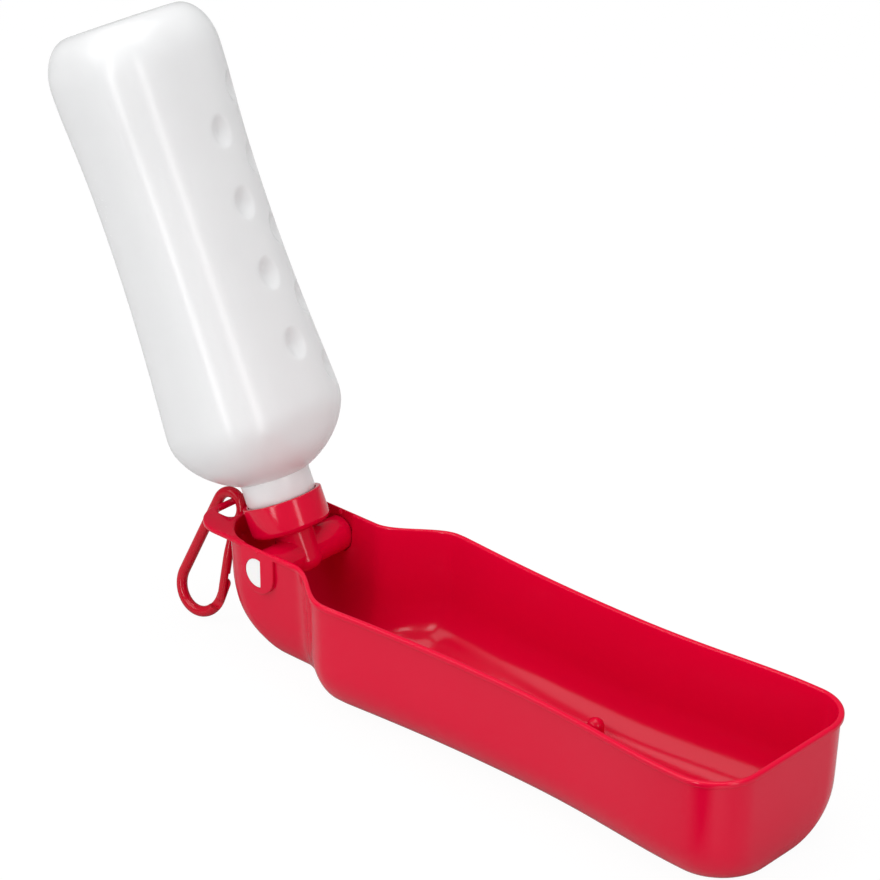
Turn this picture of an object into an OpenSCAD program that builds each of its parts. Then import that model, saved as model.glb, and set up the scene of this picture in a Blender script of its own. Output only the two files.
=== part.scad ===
// Dog travel water bottle: a squeeze bottle hinged to a drinking tray.
// Millimetres. X runs from the hinge to the open end of the tray, Z is up.
// The origin is the middle of the flat underside of the tray.

/* [Tray] */
// Distance from the hinge axis to the open end of the rim
tray_reach = 244; // [235:1:290]
// Height of the rim above the underside
tray_height = 48.5; // [46:0.5:60]
// Width over the rim at the shoulders
shoulder_width = 78.6; // [76:0.2:90]
// Width over the rim at the waist
waist_width = 71.2; // [68:0.2:80]
// Width over the rim near the open end
end_width = 82; // [76:0.5:96]
// Width over the rim beside the hinge
hinge_width = 48; // [46:0.5:54]
// Distance from the hinge axis back to the closed end of the bowl
bowl_back = 26; // [25:0.5:32]
// Thickness of the tray wall
tray_wall = 1.2; // [1:0.1:1.5]
// How far the rim bead stands out from the wall
bead_out = 1.1; // [0.6:0.1:1.4]
// Height of the rim bead
bead_height = 2.2; // [1.6:0.1:3]
// How far the wall leans in from the rim to the underside
wall_draft = 2; // [1:0.1:3]
// Width that the bottom curve takes from each side of the wide part
side_curve = 16; // [12:0.5:18]
// Width that the bottom curve takes from each side beside the hinge
hinge_curve = 9; // [6:0.5:11]
// Height of the bottom curve
curve_height = 20; // [14:0.5:24]
// Corner radius of the open end, seen from above
end_corner = 20; // [14:0.5:26]

/* [Strap ear] */
// Thickness of the ear plate
ear_thickness = 2; // [1.6:0.1:2.2]
// Length of the strap slot across the ear
slot_length = 24; // [22:0.5:28]
// Width of the strap slot
slot_width = 9.4; // [9:0.1:9.6]
// Width of the bar that is left outside the slot
bar_width = 3; // [2.6:0.1:3]
// Corner radius of the ear
ear_corner = 14; // [10:0.5:16]

/* [Rest pegs] */
// Distance of the pegs from the hinge axis
peg_x = 138; // [110:1:180]
// Distance of each peg from the middle of the tray
peg_y = 17; // [10:0.5:20]
// Diameter of a peg
peg_d = 7; // [5:0.2:9]
// Room that the folded bottle keeps over the pegs
peg_gap = 2.2; // [0.5:0.1:3]

/* [Hinge and valve] */
// Depth of the hinge axis below the rim
hinge_depth = 10.3; // [10:0.1:12]
// Angle of the bottle from the tray's X axis when it is open
open_angle = 115; // [110:1:120]
// Diameter of the valve core
core_d = 11.9; // [11:0.1:12.4]
// Radial clearance of the core in the cross tube
core_clearance = 0.05; // [0.03:0.01:0.09]
// Distance of the core's key flat from its axis
key_flat = 1.8; // [1.4:0.1:3]
// Clearance of the key in the tray wall
key_clearance = 0.15; // [0.1:0.05:0.3]
// Wall of the cross tube
tube_wall = 1.2; // [1:0.1:1.4]
// Diameter of the water port
port_d = 5; // [3:0.2:6]
// Section diameter of a seal ring
ring_section = 1.6; // [1.2:0.1:2]
// Distance of each seal ring from the middle of the core
ring_y = 13; // [11:0.5:16]

/* [Screw cap] */
// Outer diameter of the collar
collar_d = 32; // [31.6:0.1:34]
// Wall of the collar
collar_wall = 2; // [1.6:0.1:2.2]
// Height of the collar
collar_height = 13; // [11:0.5:15]
// Distance from the hinge axis to the bottom of the collar
collar_base = 10; // [9.5:0.1:11]
// Floor thickness of the collar
collar_floor = 2; // [1.6:0.1:2.6]
// Radius of the collar's lower edge
collar_round = 2.4; // [1.5:0.1:3]
// Diameter of the stem
stem_d = 16; // [15:0.2:18]
// Distance from the hinge axis to the lower end of the stem
stem_drop = 7.6; // [7.4:0.1:9]
// Radius of the stem's lower edge
stem_round = 4.6; // [3:0.1:4.8]
// Thickness of the sealing washer
washer_t = 1.6; // [1:0.1:2.2]
// Gap that is left at each sealing face
seal_gap = 0.15; // [0.1:0.05:0.2]

/* [Bottle] */
// Distance from the hinge axis to the base of the bottle
bottle_reach = 217.5; // [200:0.5:222]
// Width of the bottle at its shoulder
bottle_width = 67.4; // [64:0.2:69.6]
// Width of the bottle at its waist
bottle_waist = 61; // [56:0.2:62]
// Width of the bottle near its base
bottle_end = 65; // [62:0.2:70]
// Thickness of the bottle as a share of its width
bottle_oval = 0.888; // [0.8:0.002:0.9]
// Wall of the bottle
bottle_wall = 1; // [0.8:0.1:1.4]
// Outer diameter of the visible neck
neck_d = 27.8; // [26:0.1:28]
// Depth of a finger dimple
dimple_depth = 1.9; // [0.5:0.1:2]
// Spacing of the dimples along the bottle
dimple_pitch = 28.5; // [26:0.5:30]

/* [Clip] */
// Overall length of the clip
clip_length = 57; // [56.5:0.1:58]
// Overall width of the clip
clip_width = 25.4; // [25:0.1:26]
// Thickness of the clip's bar
clip_bar = 4.4; // [4.2:0.1:4.4]
// Outer diameter of the clip's upper loop
clip_loop = 17.2; // [17.2:0.1:17.6]
// Place of the clip along the slot, from its middle
clip_y = -3.5; // [-5:0.5:5]
// Sideways lean of the clip
clip_roll = 16; // [0:1:18]
// Gap between the clip and the surface that the tray stands on
clip_gap = 0.4; // [0.3:0.1:1]

/* [Hidden] */
eps = 0.01;
red = [0.78, 0.02, 0.11];
white = [0.93, 0.93, 0.92];
clear_white = [0.9, 0.91, 0.92];
rubber_grey = [0.3, 0.3, 0.32];

// Shared places, measured from the hinge axis
shoulder_start = 19;
shoulder_x = 52;
waist_x = 130;
end_x = tray_reach - end_corner - 4;
bowl_end = -bowl_back;
bowl_corner = 18;
ear_reach = bowl_back + slot_width + bar_width;
end_slope = 25;
foot_start = bowl_end + end_slope;
foot_end = tray_reach - 9;
foot_mid = (foot_start + foot_end) / 2;
hinge_z = tray_height - hinge_depth;
lean = open_angle - 90;

// Half width over the wall and over the hinge bosses
face_y = hinge_width / 2;
recess_y = face_y - tray_wall;
tube_r = core_d / 2 + core_clearance + tube_wall;
channel_r = tube_r + 0.4;
boss_r = channel_r + tray_wall;

// Smooth step from 0 to 1
function ease(t) = let (u = min(1, max(0, t))) u * u * (3 - 2 * u);
function mix(a, b, t) = a + (b - a) * t;
function span(x, a, b) = min(1, max(0, (x - a) / (b - a)));

// Half width over the rim at a distance from the hinge axis
function rim_half(x) =
    x < shoulder_x
    ? mix(hinge_width, shoulder_width, ease(span(x, shoulder_start, shoulder_x - 3))) / 2
    : x < waist_x
    ? mix(shoulder_width, waist_width, ease(pow(span(x, shoulder_x, waist_x), 0.6))) / 2
    : mix(waist_width, end_width, ease(pow(span(x, waist_x, end_x), 1.35))) / 2;

// Share of a bottom curve that is used up at height z, from 0 on the wall to 1 underneath
function curve_share(z, h) = let (t = span(h - z, 0, h)) 1 - sqrt(1 - t * t);

// How far the tray has drawn in from the rim bead at height z; thick is 0 outside
function side_inset(x, z, thick) =
    let (wide = ease(span(rim_half(x), hinge_width / 2 + 1, shoulder_width / 2 - 4)))
    bead_out + thick + wall_draft * (1 - z / tray_height)
    + mix(hinge_curve, side_curve, wide) * curve_share(z - thick, curve_height - thick);
function end_inset(z, thick) =
    bead_out + thick + wall_draft * 0.7 * (1 - z / tray_height)
    + 5.5 * curve_share(z - thick, curve_height + 4 - thick);
function hinge_inset(z, thick) =
    thick + wall_draft * 0.3 * (1 - z / tray_height)
    + end_slope * curve_share(z - thick, curve_height + 10 - thick);

// Bottle: an oval body with a waist, blown in one piece with its neck
collar_r = collar_d / 2;
bore_r = collar_r - collar_wall;
collar_top = collar_base + collar_height;
washer_z = collar_base + collar_floor + seal_gap;
neck_r = neck_d / 2;
neck_start = washer_z + washer_t + seal_gap;
thread_r = min(bore_r - 0.45, neck_r);
shoulder_s = 58;
shoulder_rise = 28.5;
waist_s = 136;
base_s = bottle_reach - 18.5;
base_curve = 18.5;
base_round = 12;

function body_half(s) =
    s < shoulder_s ? bottle_width / 2 * sqrt(max(0, 1 - pow((shoulder_s - s) / shoulder_rise, 2)))
    : s < waist_s ? mix(bottle_width, bottle_waist, ease(pow(span(s, shoulder_s, waist_s), 0.65))) / 2
    : s < base_s ? mix(bottle_waist, bottle_end, ease(pow(span(s, waist_s, base_s), 1.5))) / 2
    : bottle_end / 2 - base_round * (1 - sqrt(max(0, 1 - pow((s - base_s) / base_curve, 2))));
function squareness(s) = mix(2, 2.7, ease(span(s, collar_top + 9, shoulder_s - 4)));
function oval(s) = mix(1, bottle_oval, ease(span(s, collar_top + 8, shoulder_s - 8)));

// Half thickness of the bottle at a distance y from its middle plane
function bottle_section_n(s, y) =
    let (p = squareness(s)) body_half(s) * oval(s) * pow(1 - pow(y / body_half(s), p), 1 / p);

corner_n = 8;
side_n = 30;
long_n = 12;

// Places along a side: wide steps on the long wall, then closer ones round the shoulder
function side_x(i, xa, xb) =
    let (xm = shoulder_x + 8)
    i < long_n ? mix(xa, xm, i / long_n) : mix(xm, xb, (i - long_n) / (side_n - long_n));

// Half of a tray outline at height z, from the open end round to the hinge end
function half_outline(z, thick, bead) =
    let (x1 = tray_reach - (bead ? 0 : end_inset(z, thick)),
         x0 = bowl_end + hinge_inset(z, thick),
         rc = end_corner - (bead ? 0 : bead_out + thick),
         xa = x1 - rc,
         wa = rim_half(xa) - (bead ? 0 : side_inset(xa, z, thick)),
         xh = x0 + bowl_corner,
         wh = rim_half(xh) - (bead ? 0 : side_inset(xh, z, thick)),
         rh = min(bowl_corner, wh - 0.5))
    concat(
        [for (i = [0:corner_n]) let (a = 90 * i / corner_n)
            [xa + rc * cos(a), wa - rc + rc * sin(a)]],
        [for (i = [1:side_n - 1]) let (x = side_x(i, xa, x0 + rh))
            [x, rim_half(x) - (bead ? 0 : side_inset(x, z, thick))]],
        [for (i = [0:corner_n]) let (a = 90 + 90 * i / corner_n)
            [x0 + rh + rh * cos(a), wh - rh + rh * sin(a)]]);

function mirror_half(half) = concat(half, [for (i = [len(half) - 1:-1:0]) [half[i][0], -half[i][1]]]);
function outline(z, thick = 0, bead = false) = mirror_half(half_outline(z, thick, bead));

// Heights of the rings of the outer and inner skins
ring_n = 7;
function skin_heights(top, low, curve) = concat([top],
    [for (i = [0:ring_n]) low + curve * (1 - sin(90 * i / ring_n))]);

// A closed solid between stacked rings of equal length, bottom ring first
module stack(rings) {
    n = len(rings[0]);
    m = len(rings);
    points = [for (ring = rings) each ring];
    faces = concat(
        [[for (i = [0:n - 1]) i]],
        [for (k = [0:m - 2]) for (i = [0:n - 1]) let (j = (i + 1) % n)
            each [[k * n + i, (k + 1) * n + i, k * n + j], [k * n + j, (k + 1) * n + i, (k + 1) * n + j]]],
        [[for (i = [n - 1:-1:0]) (m - 1) * n + i]]);
    polyhedron(points, faces, convexity = 10);
}

function lift(points, z) = [for (p = points) [p[0], p[1], z]];
function reversed(list) = [for (i = [len(list) - 1:-1:0]) list[i]];

module tray_outside() {
    stack([for (z = reversed(skin_heights(tray_height - eps, 0, curve_height))) lift(outline(z), z)]);
    translate([0, 0, tray_height - bead_height])
        linear_extrude(bead_height) polygon(outline(tray_height, 0, true));
}

module tray_inside() {
    heights = skin_heights(tray_height + 1, tray_wall, curve_height - tray_wall);
    stack([for (z = reversed(heights)) lift(outline(min(z, tray_height), tray_wall), z)]);
}

// Flat plate at rim height that carries the strap slot
slot_corner = 3.4;
module ear_plate() {
    half = hinge_width / 2 - 0.6;
    side = half - ear_corner;
    start = ear_corner - ear_reach;
    translate([0, 0, tray_height - ear_thickness]) linear_extrude(ear_thickness) difference() {
        union() {
            translate([start, -half]) square([bowl_end + bowl_corner - start, 2 * half]);
            translate([-ear_reach, -side]) square([ear_corner + 1, 2 * side]);
            for (s = [-1, 1]) translate([start, s * side]) circle(ear_corner, $fn = 96);
        }
        translate([-ear_reach + bar_width + slot_corner, -slot_length / 2])
            square([slot_width - 2 * slot_corner, slot_length]);
        translate([-ear_reach + bar_width, -slot_length / 2 + slot_corner])
            square([slot_width, slot_length - 2 * slot_corner]);
        for (x = [slot_corner, slot_width - slot_corner], s = [-1, 1])
            translate([-ear_reach + bar_width + x, s * (slot_length / 2 - slot_corner)])
                circle(slot_corner, $fn = 64);
    }
}

// A round bar along Y with a flat on its +X side
module keyed_bar(radius, flat, y0, y1) {
    translate([0, y1, 0]) rotate([90, 0, 0]) difference() {
        cylinder(r = radius, h = y1 - y0, $fn = 96);
        translate([flat, -radius - 1, -1]) cube([radius, 2 * radius + 2, y1 - y0 + 2]);
    }
}

module bar_y(radius, y0, y1) {
    translate([0, y1, 0]) rotate([90, 0, 0]) cylinder(r = radius, h = y1 - y0, $fn = 96);
}

// Raised U on each outer side of the hinge end, open towards the rim
module hinge_bosses() {
    translate([0, 0, hinge_z]) {
        bar_y(boss_r, -face_y, face_y);
        translate([-boss_r, -face_y, 0]) cube([2 * boss_r, 2 * face_y, hinge_depth]);
    }
}

// The channel that the cross tube drops into
module hinge_channel() {
    translate([0, 0, hinge_z]) {
        bar_y(channel_r, -recess_y, recess_y);
        translate([-channel_r, -recess_y, 0]) cube([2 * channel_r, 2 * recess_y, hinge_depth + 1]);
    }
}

// Small bumps at the channel's mouth that keep the cross tube down
module snap_bumps() {
    for (s = [-1, 1]) translate([0, s * (recess_y + 0.4), tray_height - 1.4]) sphere(1.2, $fn = 32);
}

// Domed pegs that the folded bottle comes down on
peg_r = peg_d / 2;
folded_r = bottle_section_n(peg_x, peg_y);
peg_top = hinge_z - folded_r - peg_gap;

module rest_pegs() {
    for (s = [-1, 1]) translate([peg_x, s * peg_y, 0]) {
        translate([0, 0, tray_wall / 2]) cylinder(r = peg_r, h = peg_top - peg_r - tray_wall / 2, $fn = 48);
        translate([0, 0, peg_top - peg_r]) sphere(peg_r, $fn = 48);
    }
}

module tray() {
    color(red) translate([-foot_mid, 0, 0]) {
        difference() {
            union() {
                tray_outside();
                ear_plate();
                hinge_bosses();
            }
            tray_inside();
            hinge_channel();
            translate([0, 0, hinge_z])
                keyed_bar(core_d / 2 + key_clearance, key_flat + key_clearance, -face_y - 1, face_y + 1);
        }
        snap_bumps();
        difference() {
            rest_pegs();
            translate([0, 0, -20]) cube([600, 200, 40 + 2 * tray_wall], center = true);
        }
    }
}

// Frame of the open bottle: local Z runs up the bottle, local X to its front
module at_hinge() {
    translate([-foot_mid, 0, hinge_z]) rotate([0, -lean, 0]) children();
}

// White core, keyed to the tray, with one port across it
groove_r = core_d / 2 + core_clearance - 0.05 - ring_section;
module valve_core() {
    color(white) at_hinge() difference() {
        union() {
            bar_y(core_d / 2, -recess_y + 0.4, recess_y - 0.4);
            rotate([0, lean, 0]) keyed_bar(core_d / 2, key_flat, -face_y + 0.2, face_y - 0.2);
        }
        cylinder(d = port_d, h = core_d + 2, center = true, $fn = 48);
        for (s = [-1, 1]) translate([0, s * ring_y, 0]) rotate([90, 0, 0]) difference() {
            cylinder(r = core_d, h = ring_section + 0.3, center = true, $fn = 64);
            cylinder(r = groove_r, h = ring_section + 1, center = true, $fn = 64);
        }
    }
}

module seal_ring(y) {
    color(rubber_grey) at_hinge() translate([0, y, 0]) rotate([90, 0, 0])
        rotate_extrude($fn = 96) translate([groove_r + 0.02 + ring_section / 2, 0]) circle(d = ring_section, $fn = 32);
}
module seal_ring_near() { seal_ring(-ring_y); }
module seal_ring_far() { seal_ring(ring_y); }

// Threaded collar, stem and cross tube in one moulding
tube_end = recess_y - 0.35;

module collar_profile() {
    stem_r = stem_d / 2;
    difference() {
        union() {
            translate([0, stem_round - stem_drop]) square([stem_r, stem_drop - stem_round + collar_base + 1]);
            translate([0, -stem_drop]) square([stem_r - stem_round, stem_drop]);
            translate([stem_r - stem_round, stem_round - stem_drop]) intersection() {
                circle(stem_round, $fn = 64);
                translate([0, -stem_round]) square([stem_round, 2 * stem_round]);
            }
            translate([0, collar_base + collar_round]) square([collar_r, collar_height - collar_round]);
            translate([0, collar_base]) square([collar_r - collar_round, collar_height]);
            translate([collar_r - collar_round, collar_base + collar_round]) circle(collar_round, $fn = 48);
        }
        translate([-1, collar_base + collar_floor]) square([bore_r + 1, collar_height]);
    }
}

module screw_cap() {
    color(red) at_hinge() difference() {
        union() {
            rotate_extrude($fn = 128) collar_profile();
            bar_y(tube_r, -tube_end, tube_end);
        }
        bar_y(core_d / 2 + core_clearance, -tube_end - 1, tube_end + 1);
        translate([0, 0, -stem_drop - 1])
            cylinder(d = port_d + 1, h = stem_drop + collar_base + collar_floor + 2, $fn = 48);
    }
}

module cap_washer() {
    color(white) at_hinge() translate([0, 0, washer_z]) difference() {
        cylinder(r = bore_r - 0.4, h = washer_t, $fn = 96);
        translate([0, 0, -1]) cylinder(d = port_d + 5, h = washer_t + 2, $fn = 64);
    }
}

// Two staggered rows of finger dimples: place along the bottle and angle round it
dimples = concat(
    [for (i = [0:3]) [shoulder_s + 22.5 + i * dimple_pitch, 8.5]],
    [for (i = [0:4]) [shoulder_s + 8.5 + i * dimple_pitch, 39.5]]);
dimple_long = 6.8;
dimple_wide = 5.2;
function signed_pow(v, p) = sign(v) * pow(abs(v), p);
function section_point(s, a, thick) =
    let (p = 2 / squareness(s), w = body_half(s) - thick, t = body_half(s) * oval(s) - thick)
    [t * signed_pow(cos(a), p), w * signed_pow(sin(a), p)];
function dimple_one(s, a, d) =
    let (away = norm(section_point(s, a, 0) - section_point(s, d[1], 0)),
         u = (s - d[0]) / dimple_long, v = away / dimple_wide)
    pow(max(0, 1 - u * u - v * v), 1.3);
function dimple_at(s, a) =
    let (hits = [for (d = dimples) dimple_one(s, a, d)]) dimple_depth * max(hits);

function body_point(s, a, thick) =
    let (p = section_point(s, a, thick), k = 1 - dimple_at(s, a) / norm(p))
    [p[0] * k, p[1] * k, s];

// Angles round the bottle, closer together across the dimples
round_angles = concat([for (a = [-6:4:66]) a], [for (a = [75:9:345]) a]);
neck_s = shoulder_s - shoulder_rise * sqrt(1 - pow((neck_r - 0.2) / (bottle_width / 2), 2));
along = concat(
    [for (i = [0:6]) mix(neck_s, shoulder_s, 1 - cos(90 * i / 6))],
    [for (i = [1:34]) mix(shoulder_s, base_s - 6, i / 34)],
    [for (i = [0:6]) base_s + (base_curve - 0.01) * sin(90 * i / 6)]);

function body_ring(s, thick) = [for (a = round_angles) body_point(s, a, thick)];

module body_shell() {
    outer = [for (s = along) body_ring(s, 0)];
    inner = [for (i = [0:len(along) - 1]) body_ring(min(along[i], bottle_reach - bottle_wall), bottle_wall)];
    n = len(round_angles);
    m = len(along);
    rings = concat(inner, outer);
    ring_at = function(k) k < m ? m - 1 - k : k;
    points = [for (k = [0:2 * m - 1]) each rings[ring_at(k)]];
    faces = concat(
        [[for (i = [0:n - 1]) i]],
        [for (k = [0:2 * m - 2]) for (i = [0:n - 1]) let (j = (i + 1) % n)
            each [[k * n + i, (k + 1) * n + i, k * n + j], [k * n + j, (k + 1) * n + i, (k + 1) * n + j]]],
        [[for (i = [n - 1:-1:0]) (2 * m - 1) * n + i]]);
    polyhedron(points, faces, convexity = 10);
}

module neck() {
    rotate_extrude($fn = 128) {
        translate([neck_r - 1.7, collar_top + 0.3]) square([1.7, neck_s + 1.2 - collar_top - 0.3]);
        translate([neck_r - 1.7, neck_start]) square([thread_r - neck_r + 1.7, collar_top + 1 - neck_start]);
    }
}

module bottle() {
    color(clear_white, 0.8) at_hinge() {
        body_shell();
        neck();
    }
}

// Clip: a bent bar round the ear's outer bar, a spine, a hook and a springy gate
wire_r = clip_bar / 2;
loop_r = clip_loop / 2 - wire_r;
hook_r = clip_width / 2 - wire_r;
loop_x = -ear_reach + bar_width / 2 + 1.3;
loop_height = tray_height - ear_thickness / 2 - 1.2;
hook_z = (clip_loop + clip_width) / 2 - clip_length;
function tilt_cos(c) =
    (loop_height - clip_gap - wire_r - hook_r * sqrt(1 - pow(sin(clip_roll) * c, 2))) / (-hook_z * cos(clip_roll));
clip_tilt = acos(min(0.999, tilt_cos(tilt_cos(1))));
flare = asin((hook_r - loop_r) / -hook_z);
gate_r = 1.9;
root_angle = -50;
tip_z = hook_z + 7;
lap = 0.25;

// Frame of the clip: its upper loop is at the origin and its hook hangs along -Z
module at_clip() {
    translate([loop_x - foot_mid, clip_y, loop_height]) rotate([-clip_roll, clip_tilt, 0]) children();
}

// One round section of the clip's bar: its place in the clip's plane, its heading and its radius
function bar_ring(x, z, heading, r) =
    [for (t = [0:18:342]) [x + r * cos(t) * cos(heading), r * sin(t), z + r * cos(t) * sin(heading)]];

gate_a = [loop_r * cos(root_angle), loop_r * sin(root_angle)];
gate_b = [hook_r + 0.8, hook_z + 1];
loop_start = root_angle + (gate_r + 0.4) / loop_r * 180 / PI;

// The bar runs from the gate's root over the top, down the spine and round the hook to its domed tip
clip_rings = concat(
    [for (i = [0:12]) let (a = mix(loop_start, 180 - flare, i / 12))
        bar_ring(loop_r * cos(a), loop_r * sin(a), a, wire_r)],
    [for (i = [0:20]) let (a = mix(180 - flare, 360, i / 20))
        bar_ring(hook_r * cos(a), hook_z + hook_r * sin(a), a, wire_r)],
    [for (b = [0:17:85]) bar_ring(hook_r, tip_z + wire_r * sin(b), 0, wire_r * cos(b))]);

// The gate runs from its round end beside the hook up to its root
gate_ahead = (gate_a - gate_b) / norm(gate_a - gate_b);
gate_heading = atan2(-gate_ahead[0], gate_ahead[1]);
function gate_ring(p, b) =
    let (q = p + gate_ahead * gate_r * sin(b)) bar_ring(q[0], q[1], gate_heading, gate_r * cos(b));
gate_rings = concat([for (b = [-85:17:0]) gate_ring(gate_b, b)], [for (b = [0:17:85]) gate_ring(gate_a, b)]);

module clip_body() {
    color(red) at_clip() difference() {
        stack(clip_rings);
        translate([hook_r - clip_bar, lap - clip_width, hook_z - clip_bar])
            cube([clip_width, clip_width, tip_z - hook_z + 2 * clip_bar]);
    }
}

// The gate laps over one side of the hook's end
module clip_gate() {
    color(red) at_clip() difference() {
        stack(gate_rings);
        translate([0, -lap, hook_z - clip_bar])
            cube([clip_width, clip_width, tip_z - hook_z + wire_r + 1 + clip_bar]);
    }
}

tray();
valve_core();
seal_ring_near();
seal_ring_far();
screw_cap();
cap_washer();
bottle();
clip_body();
clip_gate();
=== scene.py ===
"""Dog travel water bottle: a squeeze bottle hinged to a long drinking tray, dressed for rendering.

Sizes are in millimetres, measured from the hinge axis, and turned into metres in the frame's
own axes when a mesh is made. X runs to the open end of the tray, Z is up and Y lies across.
"""

import logging
import math
from dataclasses import dataclass, field
from enum import Enum

import bmesh
import bpy
import numpy as np
from mathutils import Matrix, Vector


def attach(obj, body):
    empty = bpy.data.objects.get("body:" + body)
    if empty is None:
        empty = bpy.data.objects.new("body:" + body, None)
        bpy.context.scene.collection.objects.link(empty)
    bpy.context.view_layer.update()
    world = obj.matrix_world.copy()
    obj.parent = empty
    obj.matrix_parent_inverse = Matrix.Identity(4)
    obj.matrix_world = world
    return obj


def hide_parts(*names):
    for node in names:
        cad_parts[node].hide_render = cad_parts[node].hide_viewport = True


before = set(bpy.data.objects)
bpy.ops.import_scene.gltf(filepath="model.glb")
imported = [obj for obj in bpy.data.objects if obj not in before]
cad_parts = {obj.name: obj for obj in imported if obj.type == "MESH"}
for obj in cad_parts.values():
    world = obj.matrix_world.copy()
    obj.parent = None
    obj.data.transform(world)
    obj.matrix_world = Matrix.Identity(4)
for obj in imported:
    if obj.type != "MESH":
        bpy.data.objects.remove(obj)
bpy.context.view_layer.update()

LOG = logging.getLogger("bottle")
MM = 0.001
HINGE_X = -117.0
HINGE_Z = 38.2
RIM_Z = 48.5
LEAN = math.radians(25)

Array = np.ndarray
Colour = tuple[float, float, float, float]


# ---------------------------------------------------------------- shared curves


def ease(t: Array) -> Array:
    """Smooth step: 3t^2 - 2t^3 with t held between 0 and 1."""
    u = np.clip(t, 0.0, 1.0)
    return u * u * (3 - 2 * u)


def span(x: Array, a: float, b: float) -> Array:
    """Share of the way from a to b, held between 0 and 1."""
    return np.clip((x - a) / (b - a), 0.0, 1.0)


def mix(a: Array, b: Array, t: Array) -> Array:
    """Straight blend from a at t = 0 to b at t = 1."""
    return a + (b - a) * t


def signed_power(v: Array, p: Array) -> Array:
    """|v|^p with the sign of v."""
    return np.sign(v) * np.abs(v) ** p


def arc(cx: float, cy: float, r: float, start: float, end: float, count: int) -> Array:
    """Points on a circle of radius r about (cx, cy) from angle start to end, in degrees."""
    a = np.radians(np.linspace(start, end, count))
    return np.stack([cx + r * np.cos(a), cy + r * np.sin(a)], -1)


def inset_loop(points: Array, inset: float) -> Array:
    """A closed counter-clockwise 2-D loop moved inwards along its own normals.

    Each point moves by the mean of its two edges' normals, lengthened at corners so that the
    edges themselves move by the whole inset.

    Args:
        points: The loop, shape (n, 2).
        inset: How far inwards.

    Returns:
        The moved loop, shape (n, 2).
    """
    before = points - np.roll(points, 1, 0)
    after = np.roll(points, -1, 0) - points
    n1 = np.stack([-before[:, 1], before[:, 0]], -1)
    n2 = np.stack([-after[:, 1], after[:, 0]], -1)
    n1 /= np.linalg.norm(n1, axis=1, keepdims=True)
    n2 /= np.linalg.norm(n2, axis=1, keepdims=True)
    mid = n1 + n2
    mid /= np.maximum((mid * n1).sum(1, keepdims=True), 0.3)
    return points + inset * mid


# ---------------------------------------------------------------- meshes


def ring_faces(rings: int, around: int) -> Array:
    """Quads between rings of equal length; each ring closes on itself.

    Args:
        rings: Number of rings.
        around: Points in a ring.

    Returns:
        Vertex numbers, shape ((rings - 1) * around, 4).
    """
    r, a = np.meshgrid(np.arange(rings - 1), np.arange(around), indexing="ij")
    b = (a + 1) % around
    low, high = r * around, (r + 1) * around
    return np.stack([low + a, low + b, high + b, high + a], -1).reshape(-1, 4)


def new_object(name: str, points: Array, faces: list) -> bpy.types.Object:
    """A mesh object with its place in its mesh.

    Args:
        name: The piece's name.
        points: Vertices in millimetres from the hinge axis, shape (n, 3).
        faces: Faces as lists of vertex numbers.

    Returns:
        The object, linked to the scene, at the origin.
    """
    placed = (points.reshape(-1, 3) + [HINGE_X, 0, HINGE_Z]) * MM
    mesh = bpy.data.meshes.new(name)
    mesh.from_pydata(placed.tolist(), [], faces)
    mesh.update()
    obj = bpy.data.objects.new(name, mesh)
    bpy.context.scene.collection.objects.link(obj)
    return obj


def tube_mesh(name: str, rings: Array) -> bpy.types.Object:
    """A closed skin through rings of points, each end closed by one face.

    Args:
        name: The piece's name.
        rings: Points from the hinge axis, shape (rings, around, 3).

    Returns:
        The object.
    """
    m, n = rings.shape[:2]
    ends = [list(range(n - 1, -1, -1)), list(range((m - 1) * n, m * n))]
    return new_object(name, rings, ring_faces(m, n).tolist() + ends)


def revolved(name: str, profile: Array, steps: int, place: Array) -> bpy.types.Object:
    """A profile turned about the Z axis; ends that lie off the axis get flat faces.

    Args:
        name: The piece's name.
        profile: Radius and height, shape (m, 2).
        steps: Points round the axis.
        place: 3x3 matrix that turns it to its place.

    Returns:
        The object.
    """
    a = np.linspace(0, 2 * np.pi, steps, endpoint=False)
    r = np.maximum(profile[:, 0], 1e-3)
    rings = np.stack([r[:, None] * np.cos(a), r[:, None] * np.sin(a),
                      np.repeat(profile[:, 1:2], steps, 1)], -1)
    return tube_mesh(name, rings @ place.T)


def plate(name: str, outline: Array, levels: Array, place: Array) -> bpy.types.Object:
    """A flat plate: one outline stacked at its levels.

    Args:
        name: The piece's name.
        outline: Closed 2-D loop, shape (n, 2).
        levels: Inset and height of each level, shape (m, 2).
        place: 3x3 matrix that turns it to its place.

    Returns:
        The object.
    """
    rings = np.stack([np.column_stack([inset_loop(outline, i), np.full(len(outline), h)])
                      for i, h in levels])
    return tube_mesh(name, rings @ place.T)


def round_edge_levels(low: float, high: float, r_low: float, r_high: float) -> Array:
    """Levels of a plate whose edges are quarter rounds.

    Args:
        low: Height of its lower face.
        high: Height of its upper face.
        r_low: Radius of the lower edge.
        r_high: Radius of the upper edge.

    Returns:
        Inset and height of each level, shape (m, 2).
    """
    a = np.linspace(0, np.pi / 2, 5)
    bottom = np.column_stack([r_low * (1 - np.sin(a)), low + r_low * (1 - np.cos(a))])
    top = np.column_stack([r_high * (1 - np.cos(a)), high - r_high * (1 - np.sin(a))])
    return np.concatenate([bottom, top])


def boolean(base: bpy.types.Object, other: bpy.types.Object, operation: str) -> None:
    """Adds other to base, or cuts it out, and deletes other.

    Args:
        base: The piece that is changed.
        other: The piece that is joined or cut out.
        operation: UNION or DIFFERENCE.
    """
    mod = base.modifiers.new("join", "BOOLEAN")
    mod.operation = operation
    mod.solver = "MANIFOLD"
    mod.object = other
    bpy.context.view_layer.update()
    graph = bpy.context.evaluated_depsgraph_get()
    mesh = bpy.data.meshes.new_from_object(base.evaluated_get(graph))
    base.modifiers.clear()
    old = base.data
    base.data = mesh
    bpy.data.meshes.remove(old)
    bpy.data.objects.remove(other)


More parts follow.
